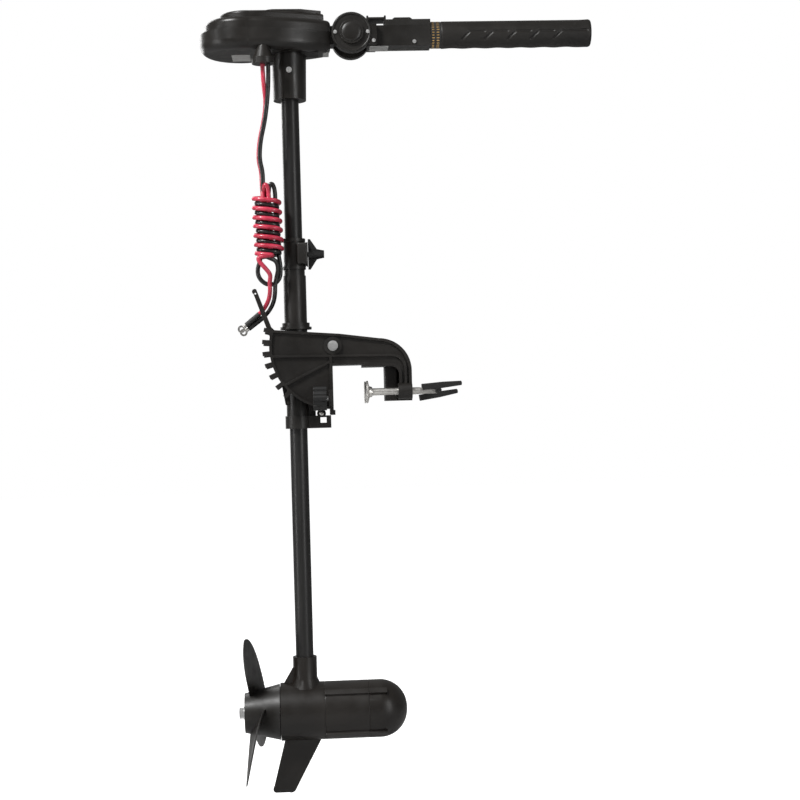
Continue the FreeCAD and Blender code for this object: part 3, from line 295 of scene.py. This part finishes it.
def softened_copy(node, width, segments=2, material=None):
    """A copy of a CAD node with clean faces and rounded edges, shown in the node's place."""
    source = NODES[node]
    work = bmesh.new()
    work.from_mesh(source.data)
    bmesh.ops.remove_doubles(work, verts=work.verts, dist=0.002 * MM)
    bmesh.ops.dissolve_limit(work, angle_limit=math.radians(1.2), verts=work.verts,
                             edges=work.edges)
    mesh = from_bmesh(node + "_skin", work)
    piece = add_piece(node + "_skin", mesh, source["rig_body"], SLOT_OF[node], material, [node])
    return soften(piece, width, segments)


def lathe(name, profile, origin, axis, body, slot, steps=64, replaces=(), material=None):
    """A closed round piece from (radius, height) pairs in millimetres."""
    work = bmesh.new()
    turn = UP.rotation_difference(Vector(axis)).to_matrix()
    rings = []
    for radius, height in profile:
        if radius == 0:
            rings.append([work.verts.new((Vector(origin) + turn @ Vector((0, 0, height))) * MM)])
            continue
        ring = []
        for i in range(steps):
            angle = 2 * math.pi * i / steps
            spot = Vector((radius * math.cos(angle), radius * math.sin(angle), height))
            ring.append(work.verts.new((Vector(origin) + turn @ spot) * MM))
        rings.append(ring)
    bridge_rings(work, rings)
    mesh = from_bmesh(name, work)
    mark_sharp(mesh, 40)
    return add_piece(name, mesh, body, slot, material, replaces)


def bridge_rings(work, rings, closed=False):
    pairs = list(zip(rings, rings[1:]))
    if closed:
        pairs.append((rings[-1], rings[0]))
    for first, second in pairs:
        count = max(len(first), len(second))
        for i in range(count):
            j = (i + 1) % count
            corners = [first[i % len(first)], first[j % len(first)],
                       second[j % len(second)], second[i % len(second)]]
            unique = list(dict.fromkeys(corners))
            if len(unique) > 2:
                work.faces.new(unique)


def mark_sharp(mesh, degrees):
    mesh.set_sharp_from_angle(angle=math.radians(degrees))


def loft(name, rings, body, slot, replaces=(), material=None, sharp=40):
    """A closed skin over rings of equal length, with flat end faces."""
    work = bmesh.new()
    made = [[work.verts.new(Vector(point) * MM) for point in ring] for ring in rings]
    bridge_rings(work, made)
    work.faces.new(made[0])
    work.faces.new(list(reversed(made[-1])))
    mesh = from_bmesh(name, work)
    mark_sharp(mesh, sharp)
    return add_piece(name, mesh, body, slot, material, replaces)


def block(name, low, high, body, slot, width=1.0, replaces=(), material=None):
    """A box with rounded edges, between two corners in millimetres."""
    work = bmesh.new()
    bmesh.ops.create_cube(work, size=1)
    for vert in work.verts:
        vert.co = Vector(
            (low[i] + (high[i] - low[i]) * (vert.co[i] + 0.5)) * MM for i in range(3)
        )
    piece = add_piece(name, from_bmesh(name, work), body, slot, material, replaces)
    return soften(piece, width, 3)


# ---- camera, floor and light ----------------------------------------------------------------
def add_camera():
    """Straight at the near side from a little aft of square, with a slight roll."""
    aim = Vector((83, 0, -58)) * MM
    distance = 2.5
    yaw = math.radians(3.5)
    roll = math.radians(1.55)
    back = Vector((-math.sin(yaw), -math.cos(yaw), 0))
    camera = bpy.data.objects.new("Camera", bpy.data.cameras.new("Camera"))
    bpy.context.scene.collection.objects.link(camera)
    right = (-back).cross(UP).normalized()
    upward = (UP * math.cos(roll) + right * math.sin(roll)).normalized()
    right = (-back).cross(upward).normalized()
    turn = Matrix((right, upward, back)).transposed()
    camera.matrix_world = Matrix.Translation(aim + back * distance) @ turn.to_4x4()
    camera.data.lens = 70.3
    camera.data.sensor_width = 36
    bpy.context.scene.camera = camera


def area_light(name, at, aim, size, power):
    light = bpy.data.lights.new(name, "AREA")
    light.shape = "RECTANGLE"
    light.size, light.size_y = size
    light.energy = power
    holder = bpy.data.objects.new(name, light)
    bpy.context.scene.collection.objects.link(holder)
    holder.location = at
    holder.rotation_euler = (Vector(aim) - Vector(at)).to_track_quat("-Z", "Y").to_euler()


def add_studio():
    world = bpy.data.worlds.new("Studio")
    bpy.context.scene.world = world
    world.use_nodes = True
    tree = world.node_tree
    sky = tree.nodes["Background"]
    path = tree.nodes.new("ShaderNodeLightPath")
    # The background is full white to the camera, and dim to reflections and to the object.
    shine = tree.nodes.new("ShaderNodeMath")
    shine.operation = "MULTIPLY_ADD"
    shine.inputs[1].default_value = 0.14
    shine.inputs[2].default_value = 0.07
    level = tree.nodes.new("ShaderNodeMath")
    level.operation = "ADD"
    level.use_clamp = True
    tree.links.new(path.outputs["Is Glossy Ray"], shine.inputs[0])
    tree.links.new(shine.outputs["Value"], level.inputs[0])
    tree.links.new(path.outputs["Is Camera Ray"], level.inputs[1])
    tree.links.new(level.outputs["Value"], sky.inputs["Strength"])
    sky.inputs["Color"].default_value = (1, 1, 1, 1)
    area_light("key", (-1.5, -1.5, 2.2), (-0.1, 0, 0.1), (0.6, 0.6), 95)
    area_light("fill", (1.9, -2.4, 0.2), (0, 0, -0.1), (0.3, 2.4), 26)
    area_light("side", (-2.4, -0.9, -0.2), (0, 0, -0.1), (0.25, 2.4), 20)
    area_light("rim", (-1.2, 1.8, 1.0), (0, 0, 0), (0.8, 2.0), 24)
    floor = bpy.data.meshes.new("floor")
    half, height = 9, cad_low.z - 0.03
    corners = [(-half, -half, height), (half, -half, height), (half, half, height),
               (-half, half, height)]
    floor.from_pydata(corners, [], [(0, 1, 2, 3)])
    material, tree, shader = new_material("pale_floor", (0.55, 0.55, 0.55), 0.9)
    shade = ramp(tree, noise(tree, coordinates(tree), 3), [(0.3, (0.54,) * 3), (0.7, (0.57,) * 3)])
    tree.links.new(shade, shader.inputs["Base Color"])
    tree.links.new(shade, shader.inputs["Emission Color"])
    # The floor looks white to the camera only, and hides shadows. It reflects as mid grey.
    seen = tree.nodes.new("ShaderNodeLightPath")
    glow = tree.nodes.new("ShaderNodeMapRange")
    glow.inputs["To Max"].default_value = 1.8
    tree.links.new(seen.outputs["Is Camera Ray"], glow.inputs["Value"])
    tree.links.new(glow.outputs["Result"], shader.inputs["Emission Strength"])
    floor.materials.append(material)
    ground = bpy.data.objects.new("floor", floor)
    bpy.context.scene.collection.objects.link(ground)
    bpy.context.scene.view_settings.view_transform = "Standard"


# ---- battery leads --------------------------------------------------------------------------
LEAD_DIA = 7
HANK = Vector((-120, -30, 0))
UPPER_ROUTE = [
    (-116.5, -50, 482), (-116.5, -50, 448), (-115.5, -49, 414), (-120, -46, 384),
    (-128, -41, 353), (-130.5, -36, 326), (-126, -30, 307), (-126, -30, 288),
]
RED_TAIL = [
    (-119, -30, 126), (-119, -30, 118), (-121, -22.5, 107), (-127, -16, 95), (-136, -13, 85),
    (-146, -11, 77),
]
BLACK_TAIL = [
    (-111, -30, 126), (-111, -30, 117), (-113.5, -20, 102.5), (-121, -13, 89), (-131, -9, 79),
    (-142, -7, 71),
]
WRAP_TOP = 268
WRAP_PITCH = 14.4
WRAP_POINTS = 16


def wraps(wide, deep, lag, turns, rng):
    """Turns wound tightly round the folded strands, starting at the back and descending."""
    points = []
    for i in range(int(turns * WRAP_POINTS) + 1):
        done = i / WRAP_POINTS
        angle = math.radians(90 + 360 * done)
        swell = 1 + rng.uniform(-0.025, 0.025)
        drift = 2.0 * math.sin(done * 2.3)
        x = HANK.x - 1 + 2.5 * done / turns + (wide * math.cos(angle)) * swell
        y = HANK.y + deep * math.sin(angle) * swell
        points.append((x, y, WRAP_TOP - lag - WRAP_PITCH * done + 0.3 * drift))
    return points


def red_fold(y):
    """The red strand's small upper loop and its hidden lower turn inside the wraps."""
    x = HANK.x
    return [
        (x - 6, y, 262), (x - 8, y, 225), (x - 8, y, 197), (x - 6, y, 184), (x - 1, y, 179),
        (x + 4, y, 184), (x + 6, y, 197), (x + 5, y, 225), (x + 3, y, 255), (x + 3, y, 276),
        (x + 0, y, 286.5), (x - 4, y + 1, 285), (x - 5, y + 4, 274),
    ]


def black_fold(y):
    """The black strand's wider hanging loop and its arch at the top."""
    x = HANK.x
    return [
        (x - 7, y, 262), (x - 10, y, 225), (x - 10, y, 190), (x - 13, y, 168), (x - 19, y, 150),
        (x - 13, y, 135), (x + 2, y, 127), (x + 17, y, 136), (x + 19, y, 156), (x + 15, y, 180),
        (x + 13, y, 215), (x + 13, y, 255), (x + 13, y, 278), (x + 9, y, 289), (x + 4, y, 286),
        (x + 3, y + 1, 274), (x + 1, y + 4, 268),
    ]


def lead(name, route, radius, slot):
    curve = bpy.data.curves.new(name, "CURVE")
    curve.dimensions = "3D"
    curve.bevel_depth = radius * MM
    curve.bevel_resolution = 5
    curve.resolution_u = 6
    spline = curve.splines.new("NURBS")
    spline.points.add(len(route) - 1)
    for point, spot in zip(spline.points, route):
        point.co = (*(Vector(spot) * MM), 1)
    spline.order_u = 3
    spline.use_endpoint_u = True
    curve.materials.append(MATERIALS[slot])
    piece = bpy.data.objects.new(name, curve)
    bpy.context.scene.collection.objects.link(piece)
    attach(piece, "motor")
    return piece


def hanging_route(shift, colour):
    """The lead below the gland, the red one passing behind the black one as they hang."""
    behind = (-1.5, 6) if colour == "red" else (0.5, -1)
    route = []
    for x, y, z in UPPER_ROUTE:
        if z > 430:
            route.append((x + shift, y, z))
        else:
            route.append((x + behind[0], y + behind[1], z))
    return route


def sleeve(name, tail):
    """Heat-shrink over the last of a lead and over its terminal's barrel."""
    end = Vector(tail[-1])
    start = Vector(tail[-2]) + (end - Vector(tail[-2])) * 0.1
    aim = (end - Vector(tail[-2])).normalized()
    curve = bpy.data.curves.new(name, "CURVE")
    curve.dimensions = "3D"
    curve.bevel_depth = 4.1 * MM
    curve.bevel_resolution = 5
    curve.use_fill_caps = True
    spline = curve.splines.new("POLY")
    spline.points.add(2)
    for point, spot in zip(spline.points, (start, end, end + aim * 16)):
        point.co = (*(spot * MM), 1)
    holder = bpy.data.objects.new(name, curve)
    mesh = bpy.data.meshes.new_from_object(holder)
    bpy.data.objects.remove(holder)
    mesh.shade_smooth()
    return add_piece(name, mesh, "motor", "seal_rubber", None, [])


def add_leads():
    rng = random.Random(4)
    x = HANK.x
    red_pass = [(x - 16, -42, 172), (x - 15, -43, 165), (x - 5, -42, 154), (x + 3, -38, 144),
                (x + 1, -33, 134)]
    black_pass = [(x - 12, -40, 176), (x + 2, -42, 170), (x + 13, -38, 165), (x + 15, -33, 152),
                  (x + 11, -30, 138)]
    sleeves = [sleeve("sleeve_red", RED_TAIL), sleeve("sleeve_black", BLACK_TAIL)]
    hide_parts("lead_sleeves")
    pieces = [NODES["ring_terminals"], *sleeves]
    plans = {
        "red": (-4.5, red_fold(-34), wraps(20.8, 14.2, 0, 6.6, rng), red_pass, RED_TAIL),
        "black": (4.5, black_fold(-27), wraps(16.4, 9.8, 7.4, 6.25, rng), black_pass, BLACK_TAIL),
    }
    for colour, (shift, fold, turns, leave, tail) in plans.items():
        upper = hanging_route(shift, colour)
        route = upper + fold + turns + leave + tail
        piece = lead(f"{colour}_lead", route, LEAD_DIA / 2, f"lead_{colour}")
        replaced = [f"lead_{colour}_upper", f"lead_{colour}_tail"]
        if colour == "red":
            replaced.append("lead_hank")
        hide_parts(*replaced)
        pieces = pieces[1:] + pieces[:1]


# ---- carried-over CAD nodes -----------------------------------------------------------------
ROUNDING = {
    "bracket_near_side": 0.9, "bracket_far_side": 0.9, "bracket_yoke": 0.9, "tilt_lever": 0.8,
    "swivel_body": 0.9, "depth_collar": 0.8, "depth_knob": 1.6, "steady_knob": 1.6,
    "clamp_handle_near": 1.0, "clamp_handle_far": 1.0, "tiller_arm": 3.0, "tiller_cover": 0.9,
    "release_button": 1.0, "motor_end_bell": 0.9, "motor_case": 1.0, "motor_nose": 1.0,
    "head_upper_case": 1.0, "head_lower_case": 1.0, "top_panel": 0.8, "hinge_caps": 1.0,
}


def dress_nodes():
    for name, node in NODES.items():
        material = MATERIALS[SLOT_OF[name]]
        node.data.materials.clear()
        node.data.materials.append(material)


# ---- moulded and fitted details -------------------------------------------------------------
GRIP_START = 163.5
GRIP_END = 404.8
GRIP_BORE = 11.35
GRIP_BORE_DEPTH = 219
GRIP_MOTIFS = [GRIP_START + 33 + 37 * i for i in range(5)]


def distance_to_line(point, first, last):
    span = last - first
    share = max(0, min(1, (point - first).dot(span) / span.length_squared))
    return (point - first - span * share).length


def grip_radius(x, angle):
    """The grip's radius: a flared end, engraved motifs on both sides and finger swells below."""
    radius = 21.3
    radius += 1.0 * max(0, (x - 385) / 20) ** 1.5
    radius -= 1.0 * max(0, (GRIP_START + 1.2 - x) / 1.2)
    radius -= 2.0 * max(0, (x - 401) / 4) ** 2
    height = radius * math.sin(angle)
    radius += 0.5 * max(0, -math.sin(angle)) ** 3 * math.cos((x - 200) * 2 * math.pi / 37)
    spot = Vector((x, height))
    for i, start in enumerate(GRIP_MOTIFS):
        knee = Vector((start + 13, 1))
        reach = 27 if i < 4 else 44
        near = min(
            distance_to_line(spot, Vector((start, -11)), knee),
            distance_to_line(spot, knee, Vector((start + 9 + reach, 1))),
        )
        radius -= 1.6 * max(0, 1 - (near / 2.2) ** 2)
    if 190 < x < 380 and 9.5 < height < 15.5:
        radius -= 0.7 * min(1, (x - 190) / 3, (380 - x) / 3)
    return radius


def bore_ring(x, steps):
    """One ring of the grip's blind bore, which the sliding tube fills."""
    turns = [2 * math.pi * j / steps for j in range(steps)]
    return [(x, GRIP_BORE * math.cos(turn), TILLER_Z + GRIP_BORE * math.sin(turn)) for turn in turns]


def add_grip():
    """The rubber grip, engraved on both sides, over the CAD grip's length and bore."""
    steps = 168
    stations = 220
    rings = [bore_ring(GRIP_START + GRIP_BORE_DEPTH, steps), bore_ring(GRIP_START, steps)]
    for i in range(stations + 1):
        x = GRIP_START + (GRIP_END - GRIP_START) * i / stations
        ring = []
        for j in range(steps):
            angle = 2 * math.pi * j / steps
            radius = grip_radius(x, angle)
            ring.append((x, radius * math.cos(angle), TILLER_Z + radius * math.sin(angle)))
        rings.append(ring)
    loft("grip_skin", rings, "throttle", "grip_rubber", ["throttle_grip"], sharp=50)


def many_boxes(name, boxes, body, slot, material):
    """One piece made of small blocks, each given by its centre, its size and its turn."""
    work = bmesh.new()
    for centre, size, turn in boxes:
        made = bmesh.ops.create_cube(work, size=1)["verts"]
        for vert in made:
            local = Vector([vert.co[i] * size[i] for i in range(3)])
            vert.co = (Vector(centre) + turn @ local) * MM
    mesh = from_bmesh(name, work)
    mesh.shade_flat()
    return add_piece(name, mesh, body, slot, material)


def add_dial_ticks():
    """Printed marks round the speed dial, in two bands."""
    boxes = []
    for i in range(30):
        turn = Matrix.Rotation(2 * math.pi * (i + 0.5) / 30, 3, "X")
        for x, length in ((150.6, 3.6), (158.2, 4.2)):
            centre = Vector((x, 0, TILLER_Z)) + turn @ Vector((0, 0, 20.95))
            boxes.append((centre, (length, 1.7, 0.4), turn))
    many_boxes("dial_marks", boxes, NODES["dial_ring"]["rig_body"], "dial_plastic", "gold_ink")


def add_hinge_rims():
    """Raised rims, a groove and a domed centre on the tiller hinge's discs."""
    for side, sign in (("near", -1), ("far", 1)):
        body = NODES["hinge_caps"]["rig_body"]
        face = (20, sign * 31.2, TILLER_Z)
        rim = [(27.8, 0), (27.8, 1.4), (29.0, 2.2), (30.4, 2.0), (31.0, 0.8), (31.0, 0)]
        lathe(f"hinge_rim_{side}", rim + rim[:1], face, (0, sign, 0), body, "head_plastic", 96)
        dome = [(0, 0), (15.2, 0), (15.2, 1.0), (14.0, 1.9), (9, 2.4), (0, 2.6)]
        crown = (20, sign * 35.2, TILLER_Z)
        lathe(f"hinge_dome_{side}", dome, crown, (0, sign, 0), body, "head_plastic", 96)


def surface_below(node, x, y):
    """The lowest point of a CAD node above (x, y), in millimetres."""
    hit, spot, _, _ = NODES[node].ray_cast(Vector((x, y, 200)) * MM, UP)
    assert hit, (node, x, y)
    return spot.z / MM


def add_head_underside():
    """Blank labels under the head, and its vent slots as dark rubber boxes: painted shade in place
    of the slots' hollows.
    """
    depth = surface_below("head_lower_case", -155, 10)
    block("head_label", (-170, -12, depth - 0.4), (-141, 34, depth + 0.6), "motor",
          "head_plastic", 0.2, (), "label")
    depth = surface_below("head_lower_case", -24, 0)
    block("head_note", (-32, -15, depth - 0.4), (-16, 15, depth + 0.6), "motor",
          "head_plastic", 0.2, (), "label")
    depth = surface_below("head_lower_case", -46, -8)
    # The vent slots are raised dark boxes, painted shade standing where the slots' hollows would be.
    slots = [
        ((-46, -24 + 6 * i, depth - 0.3), (26, 2.6, 1.6), Matrix.Identity(3))
        for i in range(6)
    ]
    many_boxes("head_vent_painted_shade", slots, "motor", "head_plastic", "seal_rubber")


def add_screw(name, centre, axis, body, radius=4.0, height=2.2):
    """A bright pan head with a round recess."""
    profile = [
        (0, 0), (radius, 0), (radius, height * 0.45), (radius * 0.8, height * 0.85),
        (radius * 0.42, height), (radius * 0.34, height * 0.45), (0, height * 0.4),
    ]
    lathe(name, profile, centre, axis, body, "nickel", 32)


def add_collar_boss():
    """The tapered boss between the depth collar and its knob."""
    profile = [(6, 16.5), (15, 16.5), (17, 19), (20, 21), (20, 22), (6, 22), (6, 16.5)]
    lathe("collar_boss", profile, (-80, 0, 178), (1, 0, 0), "collar", "bracket_plastic", 48)


def add_collar_lugs():
    """The clamping lugs on both sides of the collar, beside the shaft."""
    for side, y in (("near", -26), ("far", 18)):
        block(f"collar_lug_{side}", (-75, y, 161), (-58, y + 8, 195), "collar",
              "bracket_plastic", 3)
    for side, y in (("near", -25), ("far", 7)):
        block(f"collar_cross_{side}", (-63.5, y, 163), (-58, y + 18, 193), "collar",
              "bracket_plastic", 2)


def add_arm_label():
    block("arm_label", (49, -18, 504.2), (79, 18, 505.2), "tiller", "head_plastic", 0.2, (),
          "label")


def add_details():
    add_collar_lugs()
    add_arm_label()
    add_grip()
    add_dial_ticks()
    add_hinge_rims()
    add_head_underside()
    add_collar_boss()
    add_screw("swivel_screw_near", (-43, -19, -76), (0, -1, 0), "swivel", 3.6)
    add_screw("swivel_screw_far", (-43, 19, -76), (0, 1, 0), "swivel", 3.6)


add_camera()
add_studio()
dress_nodes()
add_leads()
add_details()
for node_name, rounding in ROUNDING.items():
    softened_copy(node_name, rounding)
